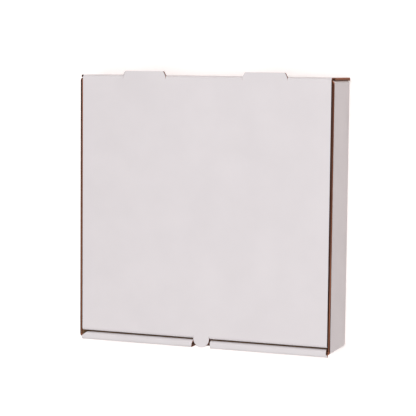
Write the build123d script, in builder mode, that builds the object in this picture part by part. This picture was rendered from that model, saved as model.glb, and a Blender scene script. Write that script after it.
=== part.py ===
"""Pizza box for a ten-inch pizza: one sheet of corrugated board, folded into a tray and a lid.

X runs to the right, Y to the hinge, Z up. The origin is under the middle of the base panel.
"""
from build123d import *
import os

os.makedirs("parts", exist_ok=True)

# Board
board = 2.5               # thickness of B-flute corrugated board
inner_fold = 0.5          # radius on the inside of a fold

# Closed box, outside
outside_width = 260.0
outside_length = 264.0    # front face to back face
outside_height = 55.0     # underside to the lid's outer face

# Clearances
flap_play = 0.2           # between a corner flap and each wall beside it
lid_side_gap = 0.4        # lid's cut edge to each side wall
lid_front_gap = 1.4       # lid's front fold to the front roll
lock_play = 0.4           # around a lock tab in its slot
kerf = 0.2                # around a tab in the opening that it was cut from
edge_play = 0.4           # from the roll's ends and the lid's rear corners to the side walls' upper edges
crease_gap = 0.1          # between lid and back wall in the hinge crease

# Side walls and their corner flaps
side_wall_top = 54.0      # the lid's face stands a little above the walls' cut edges
front_flap_length = 46.0  # from the inside of the side wall
rear_flap_length = 38.0
flap_top = 51.2           # passes under the front roll and the closed lid
flap_foot = 3.0           # lower edge of the corner folds and flaps, clear of the base
flap_corner = 10.0        # rounding of a flap's free corners
fold_run = 0.1            # flat board between a corner fold and its flap

# Front roll: outer panel, narrow top strip and inner panel, closed over the front flaps
front_top = 54.5
roll_left_end = -128.4         # top strip; the roll sits a little to the left
roll_right_end = 126.0         # top strip and inner panel, cut square
front_right_end = 127.2        # outer panel, a little past the strip
inner_left_end = -122.8        # inner panel
strip_slant = 4.4              # length of the strip's slanted left end, from its rear edge
front_run_in = 5.7             # how far the outer panel's ends run in below the strip
front_shoulder = 6.0           # height over which they run in
finger_notch_right = 8.9       # right side of the notch
finger_notch_front = 20.4      # width of the notch at the front
finger_notch_rear = 17.4       # width of the notch at the lid
finger_notch_depth = 16.0
finger_notch_corner = 3.0

# Lock tabs of the inner front panel, in slots of the base
lock_tab_width = 44.0
lock_tab_centre = 66.0

# Hinge tabs, cut from the back wall and left in the lid's plane
hinge_tab_centre = 61.7
hinge_tab_base_width = 44.5
hinge_tab_end_width = 40.0
hinge_tab_reach = 4.3          # past the back wall's outer face
hinge_tab_corner = 1.6

# Lid
thumb_tab_radius = 8.1         # round end of the thumb tab
thumb_tab_length = 8.3         # from the lid's front fold
tuck_flap_depth = 38.0         # from the lid's outer face to the flap's free edge
tuck_flap_lean = 3.0           # how far the free edge leans into the box
tuck_flap_end_half_width = 117.0
tuck_flap_corner = 12.0

# Sizes that follow
mid_fold = inner_fold + board / 2
outer_fold = inner_fold + board
half_width = outside_width / 2
front_face = -outside_length / 2
back_face = outside_length / 2
side_mid = half_width - board / 2
side_inside = half_width - board
base_mid = board / 2
lid_inside = outside_height - board
lid_mid = outside_height - board / 2
lid_half_width = side_inside - lid_side_gap
front_mid = front_face + board / 2
back_mid = back_face - board / 2
front_flap_face = front_face + board + flap_play
rear_flap_face = back_face - board - flap_play
inner_panel_mid = front_flap_face + board + flap_play + board / 2
roll_back = inner_panel_mid + board / 2
lid_front = roll_back + lid_front_gap
strip_mid = front_top - board / 2
strip_foot = front_top - outer_fold
thumb_tab_straight = thumb_tab_length - thumb_tab_radius
fold_end = half_width - outer_fold - fold_run
fold_centre_y = back_face - outer_fold
fold_centre_z = outside_height - outer_fold
reach = 20.0              # how far a cutter runs past what it cuts
overlap = 12.0            # how far neighbouring runs of board share a panel

# The hinge crease lies on the bisector of the fold's right angle
crease = Plane(origin=(0, fold_centre_y, fold_centre_z), x_dir=(1, 0, 0), z_dir=(0, -1, 1))


def mirrored_outline(*corners):
    """The same closed outline on both sides, from its corners on the right-hand side."""
    for side in (1, -1):
        Polygon(*[(side * across, along) for across, along in corners], align=None)


def folded_strip(*corners):
    """A run of board as thick as the sheet, along the middle line through these corners."""
    with BuildLine() as middle_line:
        FilletPolyline(*corners, radius=mid_fold)
    trace(middle_line.line, line_width=board)


def roll_outline(play):
    """Cuts the front roll's outline out of a sketch seen from above, with this much play at its ends."""
    Polygon(
        (roll_left_end - play, front_face - reach),
        (front_right_end + play, front_face - reach),
        (front_right_end + play, front_flap_face),
        (roll_right_end + play, front_flap_face),
        (roll_right_end + play, roll_back),
        (inner_left_end - play, roll_back),
        (roll_left_end - play, roll_back - strip_slant),
        align=None,
        mode=Mode.SUBTRACT,
    )


def side_wall(side):
    """A side wall seen from above, with the folds of its two corner flaps."""
    folded_strip(
        (side * fold_end, front_flap_face + board / 2),
        (side * side_mid, front_flap_face + board / 2),
        (side * side_mid, rear_flap_face - board / 2),
        (side * fold_end, rear_flap_face - board / 2),
    )


def corner_flap(side, length):
    """A corner flap seen from the front, from its fold to its rounded free end."""
    free_end = side_inside - length
    with Locations((side * (free_end + fold_end) / 2, (flap_foot + flap_top) / 2)):
        flap = Rectangle(fold_end - free_end, flap_top - flap_foot)
    free_corners = flap.vertices().group_by(Axis.X)[0 if side > 0 else -1]
    fillet(free_corners, flap_corner)


with BuildPart() as tray:
    # Upper end of the back wall, half way round the hinge fold
    with BuildSketch(Plane.YZ):
        folded_strip(
            (back_mid, fold_centre_z - overlap),
            (back_mid, lid_mid),
            (fold_centre_y - overlap, lid_mid),
        )
    extrude(amount=half_width, both=True)
    split(bisect_by=crease, keep=Keep.BOTTOM)

    # Front roll, base and back wall follow each other along the sheet
    with BuildSketch(Plane.YZ):
        folded_strip(
            (inner_panel_mid, board + lock_play),
            (inner_panel_mid, strip_mid),
            (front_mid, strip_mid),
            (front_mid, base_mid),
            (back_mid, base_mid),
            (back_mid, fold_centre_z),
        )
    extrude(amount=half_width, both=True)

    # The base stops where the side folds begin
    with BuildSketch(Plane.XY.offset(-reach)):
        mirrored_outline(
            (half_width - outer_fold, front_face - reach),
            (half_width + reach, front_face - reach),
            (half_width + reach, back_face - outer_fold),
            (half_width - outer_fold, back_face - outer_fold),
        )
    extrude(amount=reach + outer_fold, mode=Mode.SUBTRACT)

    # Ends of the outer front panel run in below the top strip
    with BuildSketch(Plane.XZ.offset(reach - front_face)):
        for side, end in ((1, front_right_end), (-1, roll_left_end)):
            Polygon(
                (end - side * front_run_in, -reach),
                (end - side * front_run_in, strip_foot - front_shoulder),
                (end, strip_foot),
                (end, front_top + reach),
                (side * (half_width + reach), front_top + reach),
                (side * (half_width + reach), -reach),
                align=None,
            )
    extrude(amount=-(reach + board + flap_play), mode=Mode.SUBTRACT)

    # Ends of the inner front panel
    with BuildSketch(Plane.XY.offset(board)):
        for side, end in ((1, roll_right_end), (-1, inner_left_end)):
            Polygon(
                (end, front_flap_face + board),
                (end, lid_front),
                (side * (half_width + reach), lid_front),
                (side * (half_width + reach), front_flap_face + board),
                align=None,
            )
    extrude(amount=strip_foot - board, mode=Mode.SUBTRACT)

    # Ends of the top strip: square on the right, slanted in to the inner panel on the left
    with BuildSketch(Plane.XY.offset(strip_foot)):
        with Locations((0, front_face)):
            Rectangle(outside_width + 2 * reach, 2 * (lid_front - front_face))
        roll_outline(0)
    extrude(amount=outer_fold + reach, mode=Mode.SUBTRACT)

    # Finger notch through the roll, under the lid's thumb tab; its left side runs in towards the lid
    for width, distance in (
        (finger_notch_front, lid_front_gap - front_face),
        (finger_notch_rear, -lid_front),
    ):
        with BuildSketch(Plane.XZ.offset(distance)):
            with Locations((finger_notch_right - width / 2, front_top)):
                RectangleRounded(width, 2 * finger_notch_depth, finger_notch_corner)
    loft(ruled=True, mode=Mode.SUBTRACT)

    # Back wall is as wide as the base up to a ledge at each side of the hinge fold
    with BuildSketch(Plane.XZ.offset(-rear_flap_face)):
        mirrored_outline(
            (lid_half_width, fold_centre_z),
            (lid_half_width, outside_height + reach),
            (half_width + reach, outside_height + reach),
            (half_width + reach, fold_centre_z),
        )
    extrude(amount=-(board + flap_play + reach), mode=Mode.SUBTRACT)

    # Vents that the hinge tabs leave in the back wall
    vent_floor = lid_inside - hinge_tab_reach
    with BuildSketch(Plane.XZ.offset(-rear_flap_face)):
        mirrored_outline(
            (hinge_tab_centre - hinge_tab_end_width / 2 - kerf, vent_floor),
            (hinge_tab_centre + hinge_tab_end_width / 2 + kerf, vent_floor),
            (hinge_tab_centre + hinge_tab_base_width / 2 + kerf, lid_inside),
            (hinge_tab_centre + hinge_tab_base_width / 2 + kerf, outside_height + reach),
            (hinge_tab_centre - hinge_tab_base_width / 2 - kerf, outside_height + reach),
            (hinge_tab_centre - hinge_tab_base_width / 2 - kerf, lid_inside),
        )
    extrude(amount=-(board + flap_play + reach), mode=Mode.SUBTRACT)

    # Folds from the base up to the side walls
    with BuildSketch(Plane.XZ):
        folded_strip(
            (-side_mid, outer_fold + overlap),
            (-side_mid, base_mid),
            (side_mid, base_mid),
            (side_mid, outer_fold + overlap),
        )
    extrude(amount=rear_flap_face - outer_fold, both=True)

    # Slots in the base, and the inner panel's lock tabs standing in them
    lock_places = [(lock_tab_centre, inner_panel_mid), (-lock_tab_centre, inner_panel_mid)]
    with BuildSketch(Plane.XY):
        with Locations(lock_places):
            Rectangle(lock_tab_width + 2 * lock_play, board + 2 * lock_play)
    extrude(amount=board + lock_play, mode=Mode.SUBTRACT)
    with BuildSketch(Plane.XY.offset(lock_play)):
        with Locations(lock_places):
            Rectangle(lock_tab_width, board)
    extrude(amount=board + overlap)

    # Side walls with their corner folds, which pass under the roll and stay beside the lid
    for side in (1, -1):
        with BuildSketch(Plane.XY.offset(flap_foot)):
            side_wall(side)
        extrude(amount=flap_top - flap_foot)
        with BuildSketch(Plane.XY.offset(flap_top)):
            side_wall(side)
            roll_outline(edge_play)
            with Locations((0, rear_flap_face)):
                Rectangle(2 * (side_inside + edge_play), 2 * outer_fold, mode=Mode.SUBTRACT)
        extrude(amount=side_wall_top - flap_top)

    # Corner flaps, inside the front roll and inside the back wall
    with BuildSketch(Plane.XZ.offset(-front_flap_face)):
        corner_flap(1, front_flap_length)
        corner_flap(-1, front_flap_length)
    extrude(amount=-board)
    with BuildSketch(Plane.XZ.offset(-rear_flap_face)):
        corner_flap(1, rear_flap_length)
        corner_flap(-1, rear_flap_length)
    extrude(amount=board)

tray.part.label = "tray"


with BuildPart() as lid:
    # Front fold and tuck flap, which leans into the box so that it swings clear of the roll
    with BuildSketch(Plane.YZ):
        folded_strip(
            (lid_front + outer_fold + overlap, lid_mid),
            (lid_front + board / 2, lid_mid),
            (lid_front + board / 2 + tuck_flap_lean, outside_height - tuck_flap_depth),
        )
    extrude(amount=lid_half_width, both=True)
    with BuildSketch(Plane.XZ.offset(reach - lid_front)) as flap_outline:
        with BuildLine():
            Polyline(
                (-lid_half_width, outside_height),
                (lid_half_width, outside_height),
                (lid_half_width, fold_centre_z),
                (tuck_flap_end_half_width, outside_height - tuck_flap_depth),
                (-tuck_flap_end_half_width, outside_height - tuck_flap_depth),
                (-lid_half_width, fold_centre_z),
                close=True,
            )
        make_face()
        fillet(flap_outline.vertices().group_by(Axis.Y)[0], tuck_flap_corner)
    extrude(amount=-(2 * reach + outside_height), mode=Mode.INTERSECT)

    # Opening that the thumb tab leaves in the tuck flap
    with BuildSketch(Plane.XZ.offset(reach - lid_front)):
        with Locations((0, lid_mid - thumb_tab_straight)):
            Circle(thumb_tab_radius + kerf)
            Rectangle(2 * (thumb_tab_radius + kerf), reach, align=(Align.CENTER, Align.MIN))
    extrude(amount=-(2 * reach + outside_height), mode=Mode.SUBTRACT)

    # Rear end of the lid, half way round the hinge fold
    with BuildSketch(Plane.YZ):
        folded_strip(
            (back_mid, fold_centre_z - overlap),
            (back_mid, lid_mid),
            (fold_centre_y - overlap, lid_mid),
        )
    extrude(amount=lid_half_width, both=True)
    split(bisect_by=crease.offset(crease_gap), keep=Keep.TOP)

    # The fold is open where the hinge tabs go straight on
    with BuildSketch(Plane.XY.offset(lid_inside - reach)):
        mirrored_outline(
            (hinge_tab_centre - hinge_tab_base_width / 2 - kerf, fold_centre_y),
            (hinge_tab_centre + hinge_tab_base_width / 2 + kerf, fold_centre_y),
            (hinge_tab_centre + hinge_tab_base_width / 2 + kerf, back_face + reach),
            (hinge_tab_centre - hinge_tab_base_width / 2 - kerf, back_face + reach),
        )
    extrude(amount=2 * reach, mode=Mode.SUBTRACT)

    # Panel and thumb tab
    with BuildSketch(Plane.XY.offset(lid_inside)):
        mirrored_outline(
            (0, lid_front + outer_fold),
            (lid_half_width, lid_front + outer_fold),
            (lid_half_width, fold_centre_y),
            (0, fold_centre_y),
        )
        with Locations((0, lid_front - thumb_tab_straight)):
            Circle(thumb_tab_radius)
            Rectangle(2 * thumb_tab_radius, reach, align=(Align.CENTER, Align.MIN))
    extrude(amount=board)

    # Hinge tabs
    for side in (1, -1):
        with BuildSketch(Plane.XY.offset(lid_inside)) as hinge_tab:
            with BuildLine():
                Polyline(
                    (side * hinge_tab_centre - hinge_tab_base_width / 2, fold_centre_y - overlap),
                    (side * hinge_tab_centre - hinge_tab_base_width / 2, fold_centre_y + outer_fold),
                    (side * hinge_tab_centre - hinge_tab_end_width / 2, back_face + hinge_tab_reach),
                    (side * hinge_tab_centre + hinge_tab_end_width / 2, back_face + hinge_tab_reach),
                    (side * hinge_tab_centre + hinge_tab_base_width / 2, fold_centre_y + outer_fold),
                    (side * hinge_tab_centre + hinge_tab_base_width / 2, fold_centre_y - overlap),
                    close=True,
                )
            make_face()
            fillet(hinge_tab.vertices().group_by(Axis.Y)[-1], hinge_tab_corner)
        extrude(amount=board)

lid.part.label = "lid"


export_step(tray.part, "parts/tray.step")
export_step(lid.part, "parts/lid.step")
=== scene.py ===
"""Pizza box of white-lined corrugated board: brown inside, brown fluted cut edges."""
import math

import bmesh
import bpy
from mathutils import Matrix, Vector
from mathutils.bvhtree import BVHTree


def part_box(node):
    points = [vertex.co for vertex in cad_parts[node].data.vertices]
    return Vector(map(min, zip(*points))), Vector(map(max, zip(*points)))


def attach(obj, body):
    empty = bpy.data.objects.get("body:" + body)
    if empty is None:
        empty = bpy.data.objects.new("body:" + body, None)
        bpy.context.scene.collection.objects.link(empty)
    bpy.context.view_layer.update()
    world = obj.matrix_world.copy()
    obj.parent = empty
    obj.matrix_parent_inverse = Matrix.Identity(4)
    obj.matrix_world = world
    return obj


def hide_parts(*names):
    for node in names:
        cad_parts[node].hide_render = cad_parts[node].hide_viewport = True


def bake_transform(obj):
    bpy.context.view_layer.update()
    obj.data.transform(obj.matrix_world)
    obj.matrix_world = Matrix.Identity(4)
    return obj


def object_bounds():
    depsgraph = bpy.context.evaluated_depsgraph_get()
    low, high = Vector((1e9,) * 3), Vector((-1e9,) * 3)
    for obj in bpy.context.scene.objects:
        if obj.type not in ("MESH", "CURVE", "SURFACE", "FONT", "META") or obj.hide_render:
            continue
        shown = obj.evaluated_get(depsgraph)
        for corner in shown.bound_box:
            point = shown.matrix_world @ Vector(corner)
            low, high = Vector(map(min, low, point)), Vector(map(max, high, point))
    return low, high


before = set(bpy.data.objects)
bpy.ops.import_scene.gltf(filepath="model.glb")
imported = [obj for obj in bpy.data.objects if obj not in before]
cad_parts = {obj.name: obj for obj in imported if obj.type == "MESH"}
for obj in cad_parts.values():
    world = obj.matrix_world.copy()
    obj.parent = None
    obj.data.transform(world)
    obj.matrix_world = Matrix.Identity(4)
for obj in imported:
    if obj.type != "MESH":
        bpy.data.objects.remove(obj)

cad_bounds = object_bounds()

# Sizes of the sheet, in metres
BOARD = 0.0025                  # thickness of the board
FLUTE_PITCH = 0.0065            # one wave of the fluting
FOLD_RADIUS = 0.003             # outside of a fold
FLAP_PLAY = 0.0002              # between a corner flap and each wall beside it
CREASE_GAP = 0.0001             # between back wall and lid in the hinge crease
ROLL_TOP = 0.0545               # upper side of the front roll
HINGE_TAB_CENTRE = 0.0617
HINGE_TAB_HALF_WIDTH = 0.02245  # with the cut around it
MIDDLE_HALF_WIDTH = 0.1         # of the sheet between its left and right sides

# Places that follow from the frame
HALF_LENGTH = -cad_bounds[0].y                      # middle of the box to its front and back faces
LID_TOP = cad_bounds[1].z
LID_HALF_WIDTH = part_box("lid")[1].x
BOX_MIDDLE = Vector((0, 0, LID_TOP / 2))
FOLD_CENTRE = Vector((0, HALF_LENGTH - FOLD_RADIUS, LID_TOP - FOLD_RADIUS))  # of the hinge fold's rounding
FLAP_OUTSIDE = HALF_LENGTH - BOARD - FLAP_PLAY      # middle of the box to a corner flap's outer face
FLAP_INSIDE = FLAP_OUTSIDE - BOARD                  # and to its inner face
ROLL_HOLLOW_BACK = -(FLAP_INSIDE - FLAP_PLAY)       # the inner front panel's face to the hollow of the roll
ROLL_BACK = ROLL_HOLLOW_BACK + BOARD                # and its face to the inside of the box
STRIP_FOOT = ROLL_TOP - FOLD_RADIUS                 # the front roll's top folds begin here

# Margins in the sorting of faces
WELD = 1e-6                     # vertices nearer than this are one
RAY_START = 1e-5                # a ray through the board starts this far behind the face
LINER_DEPTH = 1.25 * BOARD      # behind a liner, the board's other side is nearer than this
ALIGNED = 0.02                  # a face whose normal is this little out of the crease's lies in it
SIDEWAYS = 0.6                  # a normal with more X than this looks to the side
SLANTED = -0.7                  # least dot product of the normals of a slanted cut and of the face behind it
END_FACING = 0.9                # a normal with more X than this looks out of the end of a fold
HOLLOW_REACH = 0.0005           # a face nearer than this to the end of the roll's hollow lies on it
SHARP_ANGLE = math.radians(35)  # edges that turn more than this stay sharp

# Paper
SHEEN = 0.25                    # specular level
CLOUDS = 28                     # cloudy patches in a metre
DARK_TONE = 0.35                # where the clouds are darkest
PALE_TONE = 0.75                # and where they are palest
LINER_FIBRES = 900              # fibres in a metre, on a liner
CUT_FIBRES = 2500               # and on a cut edge
LINER_SMOOTHEST = 0.65          # lowest roughness of a liner
CUT_SMOOTHEST = 0.8             # and of a cut edge
ROUGHNESS_SPAN = 0.2
FIBRE_HEIGHT = 0.00005          # metres
FIBRE_STRENGTH = 0.5            # how much of that height shows

# Cut edges: heights and depths are parts of the board's thickness
FLUTE_MAP = "flutes"            # UV map: U counts waves, V crosses the board from white to brown
WAVE_HEIGHT = 0.36              # waved sheet's way from the middle of the board to each side
PAPER_EDGE = 0.07               # the waved sheet reaches this far to each side, a liner half as far
HOLLOW_EDGE = 0.16              # from here on the hollow is fully dark, all painted shade
PAPER_COLOUR = (0.38, 0.145, 0.078)
# painted shade: the colour of the shadowed hollows between the waved sheet and the liners
HOLLOW_SHADE_COLOUR = (0.07, 0.024, 0.014)
SHALLOWEST_CUT_BACK = 0.6       # an edge that is cut back ends between this depth and the brown side
CRUSHED_DEPTH = 0.04            # a crushed edge shows the board from this depth
CRUSHED_SPAN = 0.03             # over this much of it
PHASE_DRIFT = 0.003             # change of phase in a pitch's length of a cut along the flutes

# Phases of the waved sheet in cuts along the flutes, at the left, in the middle and at the right. The tray's
# middle phase lays the dark hollows over the cuts of the notch in the front roll, as painted shade there.
TRAY_PHASES = (0.05, 0.75, 0.63)
LID_PHASES = (0.25, 0.25, 0.25)

# Strips in the hinge crease
CREASE_LAYERS = 32
CREASE_SLACK = 0.1 * CREASE_GAP  # between a strip and the board around it

# Sides of the sheet, in the order of the material slots
WHITE, BROWN, CUT = range(3)


def new_material(name):
    """A matte material and its shader."""
    material = bpy.data.materials.new(name)
    material.use_nodes = True
    shader = material.node_tree.nodes["Principled BSDF"]
    shader.inputs["Specular IOR Level"].default_value = SHEEN
    return material, shader


def math_node(tree, operation, *values):
    """One step of arithmetic. Each value is a number or the output of another node."""
    node = tree.nodes.new("ShaderNodeMath")
    node.operation = operation
    for socket, value in zip(node.inputs, values):
        if isinstance(value, bpy.types.NodeSocket):
            tree.links.new(value, socket)
        else:
            socket.default_value = value
    return node.outputs[0]


def noise(tree, features, detail):
    """Noise over the object's own coordinates, with this many features in a metre."""
    place = tree.nodes.new("ShaderNodeTexCoord")
    node = tree.nodes.new("ShaderNodeTexNoise")
    node.inputs["Scale"].default_value = features
    node.inputs["Detail"].default_value = detail
    tree.links.new(place.outputs["Object"], node.inputs["Vector"])
    return node.outputs["Fac"]


def ramp(tree, value, *stops):
    """Colours between two stops, each a position and a colour."""
    node = tree.nodes.new("ShaderNodeValToRGB")
    for element, (position, colour) in zip(node.color_ramp.elements, stops):
        element.position = position
        element.color = (*colour, 1)
    tree.links.new(value, node.inputs["Fac"])
    return node.outputs["Color"]


def paper_grain(tree, shader, grain, smoothest):
    """The fibres make the paper's roughness vary and stand out of it a little."""
    roughness = math_node(tree, "MULTIPLY_ADD", grain, ROUGHNESS_SPAN, smoothest)
    tree.links.new(roughness, shader.inputs["Roughness"])
    relief = tree.nodes.new("ShaderNodeBump")
    relief.inputs["Strength"].default_value = FIBRE_STRENGTH
    relief.inputs["Distance"].default_value = FIBRE_HEIGHT
    tree.links.new(grain, relief.inputs["Height"])
    tree.links.new(relief.outputs["Normal"], shader.inputs["Normal"])


def liner(name, pale, dark, fibre):
    """Paper liner: a cloudy tone and a fine grain of fibres. Fibre is the grain's share in the tone."""
    material, shader = new_material(name)
    tree = material.node_tree
    cloud = noise(tree, CLOUDS, detail=3)
    grain = noise(tree, LINER_FIBRES, detail=4)
    tone = math_node(tree, "MULTIPLY_ADD", grain, fibre, cloud)
    colour = ramp(tree, tone, (DARK_TONE, dark), (PALE_TONE + fibre, pale))
    tree.links.new(colour, shader.inputs["Base Color"])
    paper_grain(tree, shader, grain, LINER_SMOOTHEST)
    return material


def fluted_edge():
    """Cut edge: a waved sheet between two liners, with painted shade in the hollows between them."""
    material, shader = new_material("cut_edge")
    tree = material.node_tree
    place = tree.nodes.new("ShaderNodeUVMap")
    place.uv_map = FLUTE_MAP
    split = tree.nodes.new("ShaderNodeSeparateXYZ")
    tree.links.new(place.outputs["UV"], split.inputs["Vector"])
    waves = split.outputs["X"]
    across = split.outputs["Y"]
    wave = math_node(tree, "SINE", math_node(tree, "MULTIPLY", waves, 2 * math.pi))
    sheet = math_node(tree, "MULTIPLY_ADD", wave, WAVE_HEIGHT, 0.5)
    from_sheet = math_node(tree, "ABSOLUTE", math_node(tree, "SUBTRACT", across, sheet))
    from_middle = math_node(tree, "ABSOLUTE", math_node(tree, "SUBTRACT", across, 0.5))
    # 0 at the liners, 1 in the middle of the board
    from_liners = math_node(tree, "MULTIPLY_ADD", from_middle, -2, 1)
    from_paper = math_node(tree, "MINIMUM", from_sheet, from_liners)
    # paper colour on the sheet and the liners, painted shade in the hollows
    colour = ramp(tree, from_paper, (PAPER_EDGE, PAPER_COLOUR), (HOLLOW_EDGE, HOLLOW_SHADE_COLOUR))
    tree.links.new(colour, shader.inputs["Base Color"])
    paper_grain(tree, shader, noise(tree, CUT_FIBRES, detail=3), CUT_SMOOTHEST)
    return material


def add_piece(name, form, materials):
    """An object with the form's mesh and these materials. The form is used up."""
    mesh = bpy.data.meshes.new(name)
    form.to_mesh(mesh)
    form.free()
    for material in materials:
        mesh.materials.append(material)
    piece = bpy.data.objects.new(name, mesh)
    bpy.context.scene.collection.objects.link(piece)
    return piece


def side_of_sheet(face, solid):
    """Which side of the sheet a face lies on: the white one, the brown one or a cut edge.

    A liner has the board's other side right behind it, and a cut edge hasn't.
    """
    centre = face.center
    normal = face.normal
    hit, opposite, _, depth = solid.ray_cast(centre - normal * RAY_START, -normal)
    if hit is None or depth > LINER_DEPTH:
        return CUT
    slanted_cut = abs(normal.x) > SIDEWAYS and opposite.dot(normal) > SLANTED
    along_crease = abs(normal.y + normal.z) < ALIGNED and abs(normal.x) < ALIGNED
    if slanted_cut or (along_crease and centre.y > FOLD_CENTRE.y):
        return CUT
    # The front roll's top is white also where it bends down into the box
    on_strip = centre.y < ROLL_BACK + FLAP_PLAY and centre.z > STRIP_FOOT and normal.z > 0
    if on_strip or (centre - BOX_MIDDLE).dot(normal) > 0:
        return WHITE
    return BROWN


def sort_faces(mesh):
    """Gives each face the material of its side of the sheet."""
    points = [vertex.co for vertex in mesh.vertices]
    solid = BVHTree.FromPolygons(points, [face.vertices for face in mesh.polygons])
    for face in mesh.polygons:
        face.material_index = side_of_sheet(face, solid)


def depths_in_board(mesh):
    """How deep each vertex lies in the board, from 0 on the white side to 1 on the brown one."""
    points = [vertex.co for vertex in mesh.vertices]
    white_faces = [face.vertices for face in mesh.polygons if face.material_index == WHITE]
    on_white = {index for vertices in white_faces for index in vertices}
    white_side = BVHTree.FromPolygons(points, white_faces)
    depths = []
    for index, point in enumerate(points):
        depth = white_side.find_nearest(point)[3] / BOARD
        if index in on_white:
            depth = 0.0
        elif not SHALLOWEST_CUT_BACK < depth < 1.0:
            depth = 1.0
        depths.append(depth)
    return depths


def direction(points):
    """The direction between the two points farthest apart, and the axis that it is nearest to."""
    steps = [b - a for a in points for b in points]
    along = max(steps, key=lambda step: step.length).normalized()
    axis = max(range(3), key=lambda number: abs(along[number]))
    if along[axis] < 0:
        along.negate()
    return along, "XYZ"[axis]


def phase_at(x, phases):
    """The phase of the waved sheet at the left, in the middle or at the right."""
    left, middle, right = phases
    if x < -MIDDLE_HALF_WIDTH:
        return left
    if x > MIDDLE_HALF_WIDTH:
        return right
    return middle


def lay_flutes(mesh, phases):
    """Lays the waves of the fluting along the cut edges.

    The flutes run from front to rear of the flat sheet, and from side to side in the corner flaps,
    which are folded round the corners. A cut along the flutes shows the waved sheet at one phase,
    which drifts a little. The ends of the hinge fold are crushed and show no hollows.
    """
    depths = depths_in_board(mesh)
    layer = mesh.uv_layers.new(name=FLUTE_MAP)
    margin = FLAP_PLAY / 2
    for face in mesh.polygons:
        if face.material_index != CUT:
            continue
        white_edge = [mesh.vertices[index].co for index in face.vertices if depths[index] == 0]
        brown_edge = [mesh.vertices[index].co for index in face.vertices if depths[index] > 0]
        along, axis = direction(max(white_edge, brown_edge, key=len))
        centre = face.center
        in_flap = FLAP_INSIDE - margin < abs(centre.y) < FLAP_OUTSIDE + margin and centre.z > BOARD
        across_flutes = axis == ("Z" if in_flap else "X")
        crushed = centre.y > FOLD_CENTRE.y and abs(face.normal.x) > END_FACING
        phase = phase_at(centre.x, phases)
        for loop in face.loop_indices:
            index = mesh.loops[loop].vertex_index
            waves = mesh.vertices[index].co.dot(along) / FLUTE_PITCH
            depth = depths[index]
            layer.data[loop].uv = (
                waves if across_flutes else phase + PHASE_DRIFT * waves,
                CRUSHED_DEPTH + CRUSHED_SPAN * depth if crushed else depth,
            )


def paint_roll_hollow_shade(mesh):
    """Makes the inner front panel brown on its face to the hollow of the roll too: painted shade that
    darkens the hollow seen through the notch in the front roll.

    The fluting is laid before this, because its depth counts from the white side.
    """
    for face in mesh.polygons:
        at_panel = abs(face.center.y - ROLL_HOLLOW_BACK) < HOLLOW_REACH and face.normal.y < 0
        between_walls = abs(face.center.x) < LID_HALF_WIDTH
        if at_panel and between_walls and face.material_index == WHITE:
            face.material_index = BROWN


def smooth_with_sharp_edges(mesh):
    """Rounds are shaded smoothly, and the edges of cuts stay sharp."""
    for face in mesh.polygons:
        face.use_smooth = True
    mesh.set_sharp_from_angle(angle=SHARP_ANGLE)


def board_piece(node, phases, materials):
    """One folded part of the box, in the solid's own form, with its two liners and its cut edges."""
    form = bmesh.new()
    form.from_mesh(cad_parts[node].data)
    bmesh.ops.remove_doubles(form, verts=form.verts, dist=WELD)
    piece = add_piece(node + "_board", form, materials)
    sort_faces(piece.data)
    lay_flutes(piece.data, phases)
    # painted shade on the inner front panel's face to the roll's hollow
    paint_roll_hollow_shade(piece.data)
    smooth_with_sharp_edges(piece.data)
    even = piece.modifiers.new("even_panels", "WEIGHTED_NORMAL")
    even.keep_sharp = True
    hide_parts(node)
    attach(piece, node)


def crease_piece(name, left, right, materials):
    """Board in the hinge crease between two cuts. It lies folded flat."""
    across = Vector((0, -1, 1)).normalized()    # from the back wall to the lid
    inward = Vector((0, -1, -1)).normalized()   # from the outside of the fold to its inside
    hinge = FOLD_CENTRE - inward * FOLD_RADIUS
    start = hinge + across * CREASE_SLACK
    end = hinge + across * (CREASE_GAP - CREASE_SLACK)
    near = inward * CREASE_SLACK
    far = inward * (BOARD - CREASE_SLACK)
    form = bmesh.new()
    rings = []
    for layer in range(CREASE_LAYERS + 1):
        place = start.lerp(end, layer / CREASE_LAYERS)
        ring = []
        for depth, x in ((near, left), (far, left), (far, right), (near, right)):
            ring.append(form.verts.new(place + depth + Vector((x, 0, 0))))
        rings.append(ring)
    for one, other in zip(rings, rings[1:]):
        for side, look in enumerate((CUT, BROWN, CUT, WHITE)):
            after = (side + 1) % 4
            face = form.faces.new((one[side], one[after], other[after], other[side]))
            face.material_index = look
    for cap in (rings[0][::-1], rings[-1]):
        form.faces.new(cap).material_index = BROWN
    bmesh.ops.recalc_face_normals(form, faces=form.faces)
    piece = add_piece(name, form, materials)
    smooth_with_sharp_edges(piece.data)
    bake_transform(piece)


def floor():
    """Plain pale floor under the box, lit from below like a light table."""
    clearance = 0.0003
    bpy.ops.mesh.primitive_plane_add(size=6, location=(0, 0, -clearance))
    plane = bpy.context.object
    plane.name = "floor"
    material, shader = new_material("floor")
    shader.inputs["Base Color"].default_value = (0.82, 0.78, 0.76, 1)
    shader.inputs["Roughness"].default_value = 0.9
    shader.inputs["Emission Color"].default_value = (1.0, 0.97, 0.96, 1)
    shader.inputs["Emission Strength"].default_value = 0.34
    plane.data.materials.append(material)


def area_light(name, place, target, size, watts, colour):
    """A soft square light that looks at the target."""
    light = bpy.data.lights.new(name, "AREA")
    light.size = size
    light.energy = watts
    light.color = colour
    lamp = bpy.data.objects.new(name, light)
    lamp.location = place
    lamp.rotation_euler = (Vector(target) - Vector(place)).to_track_quat("-Z", "Y").to_euler()
    bpy.context.scene.collection.objects.link(lamp)


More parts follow.
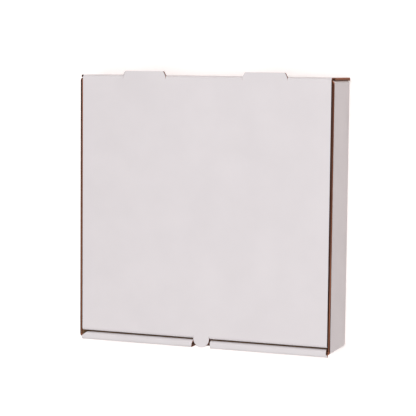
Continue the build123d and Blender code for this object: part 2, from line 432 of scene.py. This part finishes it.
def studio():
    """Even white surroundings, a large soft light above the box, weak ones behind and before it."""
    world = bpy.data.worlds.new("studio")
    world.use_nodes = True
    background = world.node_tree.nodes["Background"]
    background.inputs["Color"].default_value = (1.0, 0.87, 0.83, 1)
    background.inputs["Strength"].default_value = 0.20
    bpy.context.scene.world = world
    bpy.context.scene.view_settings.view_transform = "Standard"
    cool = (0.97, 1.0, 1.02)
    plain = (1.0, 1.0, 1.0)
    area_light("soft_box", place=(0.22, 0, 1.6), target=(0, 0, 0), size=1.6, watts=30.2, colour=cool)
    area_light("rear_light", place=(-0.1, 2.1, 0.6), target=(0, 0.1, 0), size=1.2, watts=10, colour=plain)
    area_light("front_light", place=(0.1, -2.1, 0.6), target=(0, -0.1, 0), size=1.2, watts=5, colour=plain)


def camera():
    """Long lens above the box, looking down from the right and from a little behind the hinge."""
    yaw = math.radians(20.60)
    pitch = math.radians(5.37)
    roll = math.radians(0.56)
    target = Vector((-0.0148, 0, 0))
    distance = 1.553
    toward = Vector((
        math.sin(yaw) * math.cos(pitch),
        math.sin(pitch),
        math.cos(yaw) * math.cos(pitch),
    ))
    right = Vector((0, 1, 0)).cross(toward).normalized()
    up = toward.cross(right)
    turned_right = math.cos(roll) * right + math.sin(roll) * up
    turned_up = math.cos(roll) * up - math.sin(roll) * right
    data = bpy.data.cameras.new("camera")
    data.sensor_width = 36
    data.lens = 134.2
    view = bpy.data.objects.new("camera", data)
    axes = Matrix((turned_right, turned_up, toward)).transposed()
    view.matrix_world = Matrix.Translation(target + toward * distance) @ axes.to_4x4()
    bpy.context.scene.collection.objects.link(view)
    bpy.context.scene.camera = view


board_materials = (
    liner("white_liner", pale=(0.66, 0.617, 0.624), dark=(0.63, 0.589, 0.596), fibre=0.1),
    liner("brown_liner", pale=(0.44, 0.27, 0.15), dark=(0.36, 0.21, 0.115), fibre=0.3),
    fluted_edge(),
)
board_piece("tray", TRAY_PHASES, board_materials)
board_piece("lid", LID_PHASES, board_materials)

tab_inner = HINGE_TAB_CENTRE - HINGE_TAB_HALF_WIDTH
tab_outer = HINGE_TAB_CENTRE + HINGE_TAB_HALF_WIDTH
crease_piece("crease_left", -LID_HALF_WIDTH, -tab_outer, board_materials)
crease_piece("crease_middle", -tab_inner, tab_inner, board_materials)
crease_piece("crease_right", tab_outer, LID_HALF_WIDTH, board_materials)

floor()
studio()
camera()
